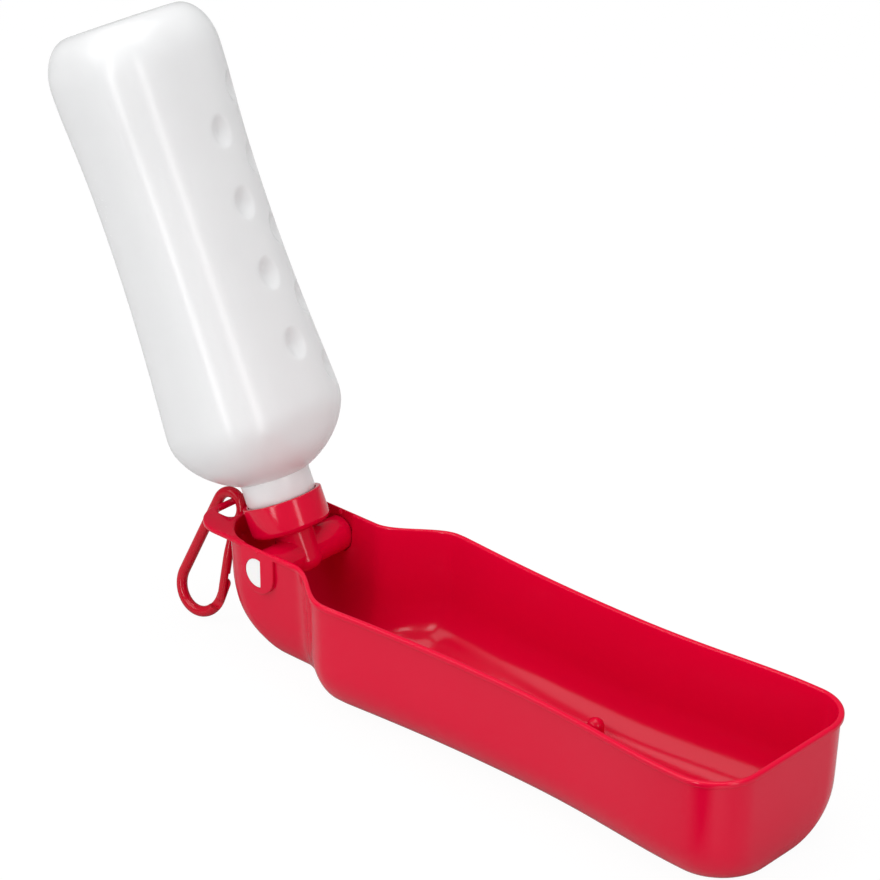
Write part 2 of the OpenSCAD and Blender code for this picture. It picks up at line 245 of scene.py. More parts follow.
def turn_outwards(obj: bpy.types.Object) -> None:
    """Turns the faces of a small closed piece outwards.

    Args:
        obj: The piece.
    """
    bm = bmesh.new()
    bm.from_mesh(obj.data)
    bmesh.ops.recalc_face_normals(bm, faces=bm.faces)
    bm.to_mesh(obj.data)
    bm.free()


def smooth(obj: bpy.types.Object, angle: float) -> None:
    """Smooth shading, broken only at edges sharper than the angle, in degrees."""
    obj.data.shade_smooth()
    obj.data.set_sharp_from_angle(angle=math.radians(angle))


UPRIGHT = np.eye(3)
LEANING = np.array([[math.cos(LEAN), 0, -math.sin(LEAN)], [0, 1, 0],
                    [math.sin(LEAN), 0, math.cos(LEAN)]])


def along_y(side: int) -> Array:
    """Matrix that stands a plate's (x, z) outline up, its height running along side * Y."""
    return np.array([[1.0, 0, 0], [0, 0, side], [0, 1.0, 0]])


# ---------------------------------------------------------------- shader expressions


class Value:
    """A shader socket that takes part in Python sums."""

    def __init__(self, sheet: "Finish", socket: bpy.types.NodeSocket) -> None:
        self.sheet = sheet
        self.socket = socket

    def _math(self, kind: str, a: object, b: object) -> "Value":
        """One Math node on two numbers or values."""
        return self.sheet.node("ShaderNodeMath", {"operation": kind}, {0: a, 1: b})

    def __add__(self, other: object) -> "Value":
        """Sum."""
        return self._math("ADD", self, other)

    def __sub__(self, other: object) -> "Value":
        """Difference."""
        return self._math("SUBTRACT", self, other)

    def __rsub__(self, other: object) -> "Value":
        """Reflected difference, so that 1 - mask works."""
        return self._math("SUBTRACT", other, self)

    def __mul__(self, other: object) -> "Value":
        """Product."""
        return self._math("MULTIPLY", self, other)

    __radd__ = __add__
    __rmul__ = __mul__


class Finish:
    """A material under construction: its node tree and its Principled shader."""

    def __init__(self, name: str) -> None:
        self.material = bpy.data.materials.new(name)
        self.material.use_nodes = True
        self.tree = self.material.node_tree
        self.shader = self.tree.nodes["Principled BSDF"]

    def node(self, kind: str, settings: dict, inputs: dict, output: int = 0) -> Value:
        """Adds one node.

        Args:
            kind: The node's type name.
            settings: Attributes of the node, set before its sockets.
            inputs: Socket names or numbers with a number, colour or Value each.
            output: Number of the output to return.

        Returns:
            The chosen output.
        """
        made = self.tree.nodes.new(kind)
        for key, value in settings.items():
            setattr(made, key, value)
        for key, value in inputs.items():
            self.feed(made.inputs[key], value)
        return Value(self, made.outputs[output])

    def feed(self, socket: bpy.types.NodeSocket, value: object) -> None:
        """Links a Value to a socket, or sets the socket to a plain value.

        Args:
            socket: The input to feed.
            value: A Value, number or colour.
        """
        if isinstance(value, Value):
            self.tree.links.new(value.socket, socket)
        else:
            socket.default_value = value

    def set(self, **values: object) -> None:
        """Sets the shader's sockets by name, with underscores for spaces."""
        for key, value in values.items():
            self.feed(self.shader.inputs[key.replace("_", " ")], value)

    def place(self) -> Value:
        """Object coordinates."""
        return self.node("ShaderNodeTexCoord", {}, {}, output=3)

    def noise(self, scale: float, detail: float, roughness: float) -> Value:
        """Noise from 0 to 1 over Object coordinates; scale is in cells per metre."""
        return self.node("ShaderNodeTexNoise", {}, {"Vector": self.place(), "Scale": scale,
                                                    "Detail": detail, "Roughness": roughness})

    def clamped(self, value: Value) -> Value:
        """The value held between 0 and 1."""
        return self.node("ShaderNodeClamp", {}, {0: value})

    def blend(self, factor: Value, first: tuple, second: tuple) -> Value:
        """A colour that goes from first to second as factor goes from 0 to 1."""
        return self.node("ShaderNodeMix", {"data_type": "RGBA"},
                         {0: factor, 6: first, 7: second}, output=2)

    def bump(self, height: Value, distance: float) -> Value:
        """A normal bent by a height; distance is the height of 1, in metres."""
        return self.node("ShaderNodeBump", {},
                         {"Height": height, "Distance": distance, "Strength": 1.0})


@dataclass(frozen=True)
class MouldedPlastic:
    """Injection-moulded plastic: even colour, faint flow in the gloss and a very fine skin."""

    name: str
    colour: Colour
    shade: Colour
    roughness: float
    specular: float
    subsurface: float = 0.0
    subsurface_scale: float = 0.002
    grain_height: float = 0.000012

    def build(self) -> bpy.types.Material:
        """Makes the material.

        Returns:
            The material, its colour drifting from colour to shade.
        """
        f = Finish(self.name)
        flow = f.noise(18.0, 3.0, 0.55)
        skin = f.noise(900.0, 3.0, 0.6)
        f.set(Base_Color=f.blend(flow, self.colour, self.shade),
              Roughness=flow * 0.06 + skin * 0.04 + (self.roughness - 0.05),
              Normal=f.bump(skin, self.grain_height), IOR=1.49, Specular_IOR_Level=self.specular,
              Subsurface_Weight=self.subsurface, Subsurface_Scale=self.subsurface_scale)
        return f.material


@dataclass(frozen=True)
class MilkyPlastic:
    """Blown polyethylene: milky, soft to the light, with slow waves left by the blowing."""

    name: str = "milky_polyethylene"
    colour: Colour = (0.875, 0.88, 0.885, 1)
    shade: Colour = (0.855, 0.86, 0.87, 1)
    roughness: float = 0.24
    wave_height: float = 0.00012
    subsurface: float = 0.35
    subsurface_scale: float = 0.008
    # painted glow: a faint even emission that stands in for light passing through the milky wall
    painted_glow_colour: Colour = (0.97, 0.985, 1.0, 1)
    glow: float = 0.01

    def build(self) -> bpy.types.Material:
        """Makes the material.

        Returns:
            The material, with cloudy colour and gloss, slow waves, a fine skin and a faint painted
            glow.
        """
        f = Finish(self.name)
        cloud = f.noise(22.0, 2.0, 0.5)
        wave = f.noise(60.0, 1.0, 0.4)
        skin = f.noise(1400.0, 2.0, 0.5)
        f.set(Base_Color=f.blend(cloud, self.colour, self.shade),
              Roughness=cloud * 0.05 + (self.roughness - 0.02) + skin * 0.03,
              Normal=f.bump(wave + skin * 0.04, self.wave_height), IOR=1.5,
              Specular_IOR_Level=0.5, Subsurface_Weight=self.subsurface,
              Subsurface_Scale=self.subsurface_scale, Subsurface_Radius=(1.0, 1.0, 1.0),
              # the emission is a painted glow, not a lamp
              Emission_Color=self.painted_glow_colour, Emission_Strength=self.glow)
        return f.material


@dataclass(frozen=True)
class SealRubber:
    """Matt rubber with a fine grain."""

    name: str
    colour: Colour

    def build(self) -> bpy.types.Material:
        """Makes the material.

        Returns:
            The material, its grain a fifth darker in places.
        """
        f = Finish(self.name)
        grain = f.noise(2500.0, 2.0, 0.6)
        dark = tuple(c * 0.8 for c in self.colour[:3]) + (1.0,)
        f.set(Base_Color=f.blend(grain, self.colour, dark), Roughness=grain * 0.15 + 0.5,
              Normal=f.bump(grain, 0.00001))
        return f.material


class Part(Enum):
    """The record's material slots."""

    TRAY = "tray"
    CAP = "cap"
    CLIP = "clip"
    CORE = "core"
    BOTTLE = "bottle"
    WASHER = "washer"
    SEAL = "seal"


RED: Colour = (0.68, 0.0006, 0.033, 1)
DEEP_RED: Colour = (0.65, 0.0004, 0.029, 1)
CLIP_RED: Colour = (0.55, 0.0008, 0.018, 1)
CLIP_DEEP_RED: Colour = (0.5, 0.0005, 0.015, 1)
CORE_WHITE: Colour = (0.93, 0.93, 0.92, 1)
CORE_SHADE: Colour = (0.9, 0.9, 0.9, 1)


@dataclass
class Finishes:
    """One material for each slot."""

    made: dict[Part, bpy.types.Material] = field(default_factory=dict)

    def build(self) -> None:
        """Makes all the materials."""
        self.made = {
            Part.TRAY: MouldedPlastic("red_tray_plastic", RED, DEEP_RED, 0.15, 0.26).build(),
            Part.CAP: MouldedPlastic("red_cap_plastic", RED, DEEP_RED, 0.14, 0.36).build(),
            Part.CLIP: MouldedPlastic("red_clip_plastic", CLIP_RED, CLIP_DEEP_RED, 0.17,
                                      0.36).build(),
            Part.CORE: MouldedPlastic("white_core_plastic", CORE_WHITE, CORE_SHADE, 0.35, 0.4,
                                      0.1).build(),
            Part.BOTTLE: MilkyPlastic().build(),
            Part.WASHER: SealRubber("white_seal_rubber", (0.75, 0.75, 0.73, 1)).build(),
            Part.SEAL: SealRubber("black_seal_rubber", (0.02, 0.02, 0.022, 1)).build(),
        }

    def dress(self, obj: bpy.types.Object, part: Part) -> None:
        """Gives the object the part's material.

        Args:
            obj: The piece.
            part: Its material slot.
        """
        obj.data.materials.clear()
        obj.data.materials.append(self.made[part])


def finish_piece(obj: bpy.types.Object, finishes: Finishes, part: Part, body: str, node: str,
                 angle: float) -> None:
    """Shades, dresses and seats a piece that stands for a CAD node, and logs it.

    Args:
        obj: The piece.
        finishes: The materials.
        part: Its material slot.
        body: The body that it rides on.
        node: The CAD node that it stands for.
        angle: Edges sharper than this stay sharp, in degrees.
    """
    smooth(obj, angle)
    finishes.dress(obj, part)
    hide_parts(node)
    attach(obj, body)
    LOG.info("%s: %d faces, rides on %s", obj.name, len(obj.data.polygons), body)


# ---------------------------------------------------------------- the tray


@dataclass
class Tray:
    """The drinking tray: rim bead, ear, hinge bosses, keyed holes, snap bumps and rest pegs."""

    reach: float = 244.0
    height: float = 48.5
    shoulder: float = 78.6
    waist: float = 71.2
    end: float = 82.0
    hinge: float = 48.0
    wall: float = 1.2
    bead_out: float = 1.1
    bead_height: float = 2.2
    nose_r: float = 1.0
    lip_r: float = 0.7
    s_start: float = 19.0
    s_end: float = 49.0
    shoulder_x: float = 52.0
    waist_x: float = 130.0
    draft: float = 2.0
    side_curve: float = 16.0
    hinge_curve: float = 9.0
    curve_height: float = 20.0
    end_curve: float = 5.5
    end_curve_height: float = 24.0
    hinge_rise: float = 25.0
    hinge_rise_height: float = 30.0
    end_corner: float = 20.0
    bowl_end: float = -26.0
    bowl_corner: float = 18.0
    ear_reach: float = 38.4
    ear_corner: float = 14.0
    ear_inset: float = 0.6
    ear_thickness: float = 2.0
    slot_length: float = 24.0
    slot_width: float = 9.4
    slot_corner: float = 3.4
    bar_width: float = 3.0
    channel_r: float = 7.6
    key_r: float = 6.1
    key_flat: float = 1.95
    peg_x: float = 138.0
    peg_y: float = 17.0
    peg_r: float = 3.5
    peg_top: float = 11.13
    peg_fillet: float = 0.5
    bump_r: float = 1.2
    around_corner: int = 24
    along_side: int = 170

    def rim_half(self, x: Array) -> Array:
        """Half width over the rim: hinge, S-curve to the shoulders, waist, then wider to the end.

        Each stretch is a smooth step from one width to the next. The powers draw the waist in
        early and open the end late.

        Args:
            x: Places along the tray.

        Returns:
            The half width at each place.
        """
        widest = self.reach - self.end_corner - 4
        shoulder = mix(self.hinge, self.shoulder, ease(span(x, self.s_start, self.s_end))) / 2
        narrowing = span(x, self.shoulder_x, self.waist_x) ** 0.6
        waist = mix(self.shoulder, self.waist, ease(narrowing)) / 2
        end = mix(self.waist, self.end, ease(span(x, self.waist_x, widest) ** 1.35)) / 2
        return np.where(x < self.shoulder_x, shoulder, np.where(x < self.waist_x, waist, end))

    def curve_share(self, z: Array, h: Array) -> Array:
        """Share of the quarter-ellipse bottom curve that is used up at height z."""
        t = np.clip((h - z) / h, 0, 1)
        return 1 - np.sqrt(np.maximum(0, 1 - t * t))

    def loops(self, z: Array, thick: Array, proud: Array) -> Array:
        """Closed horizontal loops of the tray's skin.

        Each loop has a quarter-round corner at the open end, a side that follows the rim's half
        width less the draft and the bottom curve, and a rounder corner at the hinge end.

        Args:
            z: Heights above the underside, shape (m,).
            thick: How far the loop lies inside the outer wall, shape (m,).
            proud: How far it stands out from the wall, as on the bead, shape (m,).

        Returns:
            Points from the hinge axis, shape (m, around, 3).
        """
        z, thick, proud = (np.asarray(v, float)[:, None] for v in (z, thick, proud))
        lean = 1 - z / self.height
        zc = np.minimum(z, self.height)

        def side_in(x: Array) -> Array:
            """How far the side lies inside the rim's outer line.

            Args:
                x: Places along the tray.

            Returns:
                The distances.
            """
            wide = ease(span(self.rim_half(x), self.hinge / 2 + 1, self.shoulder / 2 - 4))
            curve = mix(self.hinge_curve, self.side_curve, wide)
            return (self.bead_out + thick - proud + self.draft * lean
                    + curve * self.curve_share(zc - thick, self.curve_height - thick))

        end_in = (self.bead_out + thick - proud + self.draft * 0.7 * lean
                  + self.end_curve * self.curve_share(zc - thick, self.end_curve_height - thick))
        rise = self.curve_share(zc - thick, self.hinge_rise_height - thick)
        hinge_in = thick + self.draft * 0.3 * lean + self.hinge_rise * rise
        x1 = self.reach - end_in
        x0 = self.bowl_end + hinge_in
        rc = self.end_corner - (self.bead_out + thick - proud)
        xa = x1 - rc
        wa = self.rim_half(xa) - side_in(xa)
        xh = x0 + self.bowl_corner
        wh = self.rim_half(xh) - side_in(xh)
        rh = np.minimum(self.bowl_corner, wh - 0.5)
        a = np.radians(np.linspace(0, 90, self.around_corner))
        share = np.linspace(0, 1, self.along_side + 1)[1:-1]
        xs = mix(xa, x0 + rh, share)
        x = np.concatenate([xa + rc * np.cos(a), xs, x0 + rh - rh * np.sin(a)], 1)
        y = np.concatenate([wa - rc + rc * np.sin(a), self.rim_half(xs) - side_in(xs),
                            wh - rh + rh * np.cos(a)], 1)
        full_x = np.concatenate([x, x[:, ::-1]], 1)
        full_y = np.concatenate([y, -y[:, ::-1]], 1)
        return np.stack([full_x, full_y, np.repeat(z, full_x.shape[1], 1) - HINGE_Z], -1)

    def shell(self) -> bpy.types.Object:
        """The bowl: outer skin up, over the rounded bead and down the inner skin to the floor.

        Returns:
            The bowl alone, closed.
        """
        h, w, bead = self.height, self.wall, self.bead_height
        nose_r, lip_r = self.nose_r, self.lip_r
        curve = np.linspace(np.pi / 2, 0, 15)
        outer = self.curve_height * (1 - np.sin(curve))
        outer = np.concatenate([outer, np.linspace(self.curve_height, h - bead - 0.4, 8)[1:]])
        inner_curve = w + (self.curve_height - w) * (1 - np.sin(curve[::-1]))
        inner = np.concatenate([np.linspace(h - lip_r, self.curve_height, 9)[:-1], inner_curve])
        rows = [(z, 0.0, 0.0) for z in outer]
        foot = [(h - bead + 0.15 * math.sin(a) - 0.15, 0.0,
                 self.bead_out - 0.25 - 0.5 * (1 - math.sin(a)))
                for a in np.linspace(0.2, np.pi / 2, 3)]
        side = [(h - bead + 0.35, 0.0, self.bead_out)]
        nose = [(h - nose_r + nose_r * math.sin(a), 0.0,
                 self.bead_out - nose_r * (1 - math.cos(a)))
                for a in np.linspace(0, np.pi / 2, 7)]
        lip = [(h - lip_r + lip_r * math.cos(a), w - lip_r + lip_r * math.sin(a), 0.0)
               for a in np.linspace(0, np.pi / 2, 5)]
        rows += foot + side + nose + lip + [(z, w, 0.0) for z in inner[1:]]
        z, thick, proud = np.array(rows).T
        return tube_mesh("tray_moulding", self.loops(z, thick, proud))

    def ear_outline(self) -> Array:
        """Plan of the ear: straight sides beside the hinge and round corners at its end.

        Returns:
            Closed loop, shape (n, 2).
        """
        half, r, end = self.hinge / 2 - self.ear_inset, self.ear_corner, -self.ear_reach
        inner = self.bowl_end + self.bowl_corner
        return np.concatenate([arc(end + r, half - r, r, 90, 180, 24),
                               arc(end + r, r - half, r, 180, 270, 24),
                               [[inner, -half], [inner, half]]])

    def slot_outline(self) -> Array:
        """Plan of the strap slot, a rounded rectangle.

        Returns:
            Closed loop, shape (n, 2).
        """
        x0 = -self.ear_reach + self.bar_width
        x1, y, r = x0 + self.slot_width, self.slot_length / 2, self.slot_corner
        return np.concatenate([arc(x1 - r, y - r, r, 0, 90, 12), arc(x0 + r, y - r, r, 90, 180, 12),
                               arc(x0 + r, r - y, r, 180, 270, 12),
                               arc(x1 - r, r - y, r, 270, 360, 12)])

    def bowl_cutter(self) -> bpy.types.Object:
        """The space inside the bowl, used to open the parts that are added across it.

        Returns:
            A closed cutter.
        """
        z = self.height + np.array([-8.0, -0.7, -0.35, -0.05, 0.3])
        thick = self.wall - np.array([0.0, 0.0, 0.13, 0.5, 0.62])
        return tube_mesh("bowl_space", self.loops(z, thick, np.zeros(5)))

    def hinge_outline(self, r: float, top: float) -> Array:
        """A U: half a circle of radius r below the hinge axis, with straight sides up to top."""
        return np.concatenate([arc(0, 0, r, 180, 360, 40), [[r, top], [-r, top]]])

    def key_outline(self) -> Array:
        """The D of the keyed hole: a circle cut by a flat on its +X side."""
        a = math.degrees(math.acos(self.key_flat / self.key_r))
        return arc(0, 0, self.key_r, a, 360 - a, 60)

    def build(self) -> bpy.types.Object:
        """Joins bowl, ear and bosses, cuts channel and keyed holes, and adds pegs and bumps.

        Returns:
            The whole tray.
        """
        obj = self.shell()
        rim = self.height - HINGE_Z
        half = self.hinge / 2
        ear = plate("ear", self.ear_outline(),
                    round_edge_levels(rim - self.ear_thickness, rim, 0.5, 0.8), UPRIGHT)
        under = rim - self.ear_thickness
        slot_levels = np.array([(0.0, rim - 5), (-0.9, under - 0.3), (0.0, under + 0.4),
                                (0.0, rim - 0.5), (-0.15, rim - 0.2), (-0.5, rim),
                                (-0.9, rim + 0.3), (0.0, rim + 3)])
        boolean(ear, plate("slot", self.slot_outline(), slot_levels, UPRIGHT), "DIFFERENCE")
        boolean(ear, self.bowl_cutter(), "DIFFERENCE")
        boolean(obj, ear, "UNION")
        for side in (-1, 1):
            levels = round_edge_levels(half - self.wall - 1.2, half, 0.0, 0.5)
            outline = self.hinge_outline(self.channel_r + self.wall, rim - 1.1)
            boss = plate("boss", outline if side < 0 else outline[::-1], levels, along_y(side))
            turn_outwards(boss)
            boolean(obj, boss, "UNION")
        for outline, reach in ((self.hinge_outline(self.channel_r, rim + 5), half - self.wall),
                               (self.key_outline(), half + 4)):
            levels = np.array([(0.0, -reach), (0.0, reach)])
            cutter = plate("cutter", outline, levels, along_y(1))
            turn_outwards(cutter)
            boolean(obj, cutter, "DIFFERENCE")
        for side in (-1, 1):
            foot, ground = self.peg_r + self.peg_fillet, self.wall - HINGE_Z
            post = np.concatenate([
                [[foot, self.wall / 2 - HINGE_Z], [foot, ground]],
                arc(foot, ground + self.peg_fillet, self.peg_fillet, 270, 180, 5),
                arc(0, self.peg_top - self.peg_r - HINGE_Z, self.peg_r, 0, 90, 12)])
            peg = revolved("peg", post, 48, UPRIGHT)
            peg.data.transform(Matrix.Translation((self.peg_x * MM, side * self.peg_y * MM, 0)))
            boolean(obj, peg, "UNION")
            bump = revolved("bump", arc(0, 0, self.bump_r, -90, 90, 16), 32, UPRIGHT)
            aside = side * (half - self.wall + 0.4)
            bump.data.transform(Matrix.Translation((0, aside * MM, (rim - 1.4) * MM)))
            boolean(obj, bump, "UNION")
        return obj

    def dress(self, finishes: Finishes) -> None:
        """Builds the tray and puts it in the place of its CAD node."""
        finish_piece(self.build(), finishes, Part.TRAY, "tray", "tray", 30)


# ---------------------------------------------------------------- the cap


@dataclass
class ScrewCap:
    """Collar, stem and cross tube in one moulding, on the bottle's axis."""

    collar_r: float = 16.0
    collar_wall: float = 2.0
    base: float = 10.0
    height: float = 13.0
    floor: float = 2.0
    edge: float = 2.4
    stem_r: float = 8.0
    stem_edge: float = 4.6
    drop: float = 7.6
    tube_r: float = 7.2
    tube_half: float = 22.45
    bore_r: float = 6.0
    port_r: float = 3.0

    def profile(self) -> Array:
        """Half section of collar and stem, from the stem's lower end to the collar's floor.

        Returns:
            Radius and height, shape (m, 2).
        """
        r, top = self.collar_r, self.base + self.height
        inner = r - self.collar_wall
        return np.concatenate([
            [[0, -self.drop]],
            arc(self.stem_r - self.stem_edge, self.stem_edge - self.drop, self.stem_edge, -90, 0,
                16),
            arc(self.stem_r + 1.6, self.base - 1.6, 1.6, 180, 90, 7),
            arc(r - self.edge, self.base + self.edge, self.edge, -90, 0, 12),
            arc(r - 0.5, top - 0.5, 0.5, 0, 90, 5), arc(inner + 0.4, top - 0.4, 0.4, 90, 180, 5),
            arc(inner - 0.5, self.base + self.floor + 0.5, 0.5, 0, -90, 5),
            [[0, self.base + self.floor]]])

    def build(self) -> bpy.types.Object:
        """Joins the turned collar and stem with the tube, then bores both.

        Returns:
            The whole cap.
        """
        across = LEANING @ np.array([[1.0, 0, 0], [0, 0, 1], [0, -1, 0]])
        obj = revolved("cap_moulding", self.profile(), 160, LEANING)
        half, r = self.tube_half, self.tube_r
        tube = np.concatenate([[[0, -half]], arc(r - 0.4, 0.4 - half, 0.4, -90, 0, 5),
                               arc(r - 0.4, half - 0.4, 0.4, 0, 90, 5), [[0, half]]])
        boolean(obj, revolved("tube", tube, 120, across), "UNION")
        bore = np.array([[0, -half - 2], [self.bore_r, -half - 2], [self.bore_r, half + 2],
                         [0, half + 2]])
        boolean(obj, revolved("bore", bore, 120, across), "DIFFERENCE")
        low, high = -self.drop - 2, self.base + self.floor + 2
        port = np.array([[0, low], [self.port_r, low], [self.port_r, high], [0, high]])
        boolean(obj, revolved("port", port, 64, LEANING), "DIFFERENCE")
        return obj

    def dress(self, finishes: Finishes) -> None:
        """Builds the cap and puts it in the place of its CAD node."""
        finish_piece(self.build(), finishes, Part.CAP, "cap", "screw_cap", 28)


# ---------------------------------------------------------------- the bottle


@dataclass
class Bottle:
    """The blown bottle: outer and inner skin in one closed surface, with dimples on its front."""

    reach: float = 217.5
    width: float = 67.4
    waist: float = 61.0
    end: float = 65.0
    oval: float = 0.888
    wall: float = 1.0
    neck_r: float = 13.9
    neck_wall: float = 1.7
    neck_start: float = 13.9
    thread_r: float = 13.55
    collar_top: float = 23.3
    shoulder_s: float = 58.0
    shoulder_rise: float = 28.5
    waist_s: float = 136.0
    base_curve: float = 18.5
    base_round: float = 12.0
    power: float = 2.7
    dimple_rows: tuple = ((22.5, 8.5, 4), (8.5, 39.5, 5))
    dimple_depth: float = 1.9
    dimple_pitch: float = 28.5
    dimple_long: float = 6.8
    dimple_wide: float = 5.2
    around: int = 240
    along: int = 170

    def half(self, s: Array) -> Array:
        """Half width along the bottle: an elliptic shoulder, the waist, and a rounded base.

        Args:
            s: Places along the axis from the hinge.

        Returns:
            The half width at each place.
        """
        base_s = self.reach - self.base_curve
        rise = (self.shoulder_s - s) / self.shoulder_rise
        shoulder = self.width / 2 * np.sqrt(np.maximum(0, 1 - rise ** 2))
        narrowing = span(s, self.shoulder_s, self.waist_s) ** 0.65
        first = mix(self.width, self.waist, ease(narrowing)) / 2
        second = mix(self.waist, self.end, ease(span(s, self.waist_s, base_s) ** 1.5)) / 2
        t = np.clip((s - base_s) / self.base_curve, 0, 1)
        base = self.end / 2 - self.base_round * (1 - np.sqrt(np.maximum(0, 1 - t * t)))
        return np.where(s < self.shoulder_s, shoulder,
                        np.where(s < self.waist_s, first, np.where(s < base_s, second, base)))

    def section(self, s: Array, a: Array, thick: float) -> tuple[Array, Array]:
        """A superellipse whose exponent grows from 2, a circle, at the neck to that of the body.

        Args:
            s: Places along the axis.
            a: Angles round it.
            thick: How far it lies inside the outer skin.

        Returns:
            The x and y of each point.
        """
        power = 2 / mix(2.0, self.power, ease(span(s, 32, 54)))
        wide = self.half(s)
        deep = wide * mix(1.0, self.oval, ease(span(s, 31, 50)))
        return ((deep - thick) * signed_power(np.cos(a), power),
                (wide - thick) * signed_power(np.sin(a), power))

    def dimple(self, s: Array, a: Array) -> Array:
        """Depth of the finger dimples: oval hollows in two staggered rows.

        A dimple's depth is (1 - d^2)^1.3, where d is the distance from its middle in its own
        half lengths. A row has its start past the shoulder, its angle and its number of dimples.

        Args:
            s: Places along the axis, shape (m, 1).
            a: Angles round it, shape (1, n).

        Returns:
            Depths, shape (m, n).
        """
        rows = [(self.shoulder_s + start + i * self.dimple_pitch, angle)
                for start, angle, count in self.dimple_rows for i in range(count)]
        depth = np.zeros(np.broadcast(s, a).shape)
        x, y = self.section(s, a, 0.0)
        for at, angle in rows:
            x0, y0 = self.section(s, np.radians([[angle]]), 0.0)
            aside = ((x - x0) ** 2 + (y - y0) ** 2) / self.dimple_wide ** 2
            away = ((s - at) / self.dimple_long) ** 2 + aside
            depth = np.maximum(depth, np.maximum(0, 1 - away) ** 1.3)
        return self.dimple_depth * depth

    def skin(self, s: Array, a: Array, thick: float) -> Array:
        """Rings of the body with its dimples.

        Args:
            s: Places along the axis, shape (m,).
            a: Angles round it, shape (n,).
            thick: How far the skin lies inside the outer one.

        Returns:
            Points in the bottle's own axes, shape (m, n, 3).
        """
        s, a = s[:, None], a[None, :]
        x, y = self.section(s, a, thick)
        r = np.hypot(x, y)
        keep = (r - self.dimple(s, a)) / np.maximum(r, 1e-6)
        return np.stack([x * keep, y * keep, np.broadcast_to(s, x.shape)], -1)

    def build(self) -> bpy.types.Object:
        """Lofts neck, body and base outside, then back down the inside to the neck.

        Returns:
            The whole bottle, one closed skin.
        """
        a = np.linspace(0, 2 * np.pi, self.around, endpoint=False)
        sin_a, cos_a = np.sin(a), np.cos(a)
        base_s = self.reach - self.base_curve
        ratio = (self.neck_r / (self.width / 2)) ** 2
        neck_s = self.shoulder_s - self.shoulder_rise * math.sqrt(1 - ratio)
        turn = np.linspace(0, np.pi / 2, 26)
        body = np.concatenate([mix(neck_s, self.shoulder_s, 1 - np.cos(turn)),
                               np.linspace(self.shoulder_s, base_s, self.along)[1:],
                               base_s + (self.base_curve - 0.02)
                               * np.sin(np.linspace(0, np.pi / 2, 16)[1:])])

        def circle(r: float, s: float) -> Array:
            """One round ring of the neck."""
            return np.stack([r * cos_a, r * sin_a, np.full_like(a, s)], -1)

        inner_r = self.neck_r - self.neck_wall
        lip = [circle(inner_r + 0.3, self.neck_start), circle(self.thread_r - 0.3, self.neck_start),
               circle(self.thread_r, self.neck_start + 0.3),
               circle(self.thread_r, self.collar_top - 0.2),
               circle(self.neck_r, self.collar_top + 0.2), circle(self.neck_r, neck_s - 1.4),
               circle(self.neck_r + 0.12, neck_s - 0.5)]
        outer = self.skin(body, a, 0.0)
        thicker = 6  # rows nearest the neck, where the neck's own wall takes over
        inner = self.skin(np.minimum(body, self.reach - self.wall), a, self.wall)[thicker:][::-1]
        back = [circle(inner_r, neck_s), circle(inner_r, self.neck_start + 0.3)]
        closing = [outer[-1] * np.array([k, k, 1]) for k in (0.9, 0.6, 0.3, 0.0001)]
        opening = [inner[0] * np.array([k, k, 1]) for k in (0.0001, 0.3, 0.6, 0.9)]
        rings = np.stack([*lip, *outer, *closing, *opening, *inner, *back])
        m, n = rings.shape[:2]
        faces = ring_faces(m, n)
        here, last = np.arange(n), (m - 1) * n
        ahead = (here + 1) % n
        wrap = np.stack([last + here, last + ahead, ahead, here], -1)
        split = len(lip) + len(outer) + len(closing) - 1
        keep = (faces[:, 0] // n) != split
        return new_object("bottle_blown", rings @ LEANING.T,
                          np.concatenate([faces[keep], wrap]).tolist())

    def dress(self, finishes: Finishes) -> None:
        """Builds the bottle and puts it in the place of its CAD node."""
        finish_piece(self.build(), finishes, Part.BOTTLE, "bottle", "bottle", 60)


# ---------------------------------------------------------------- the clip


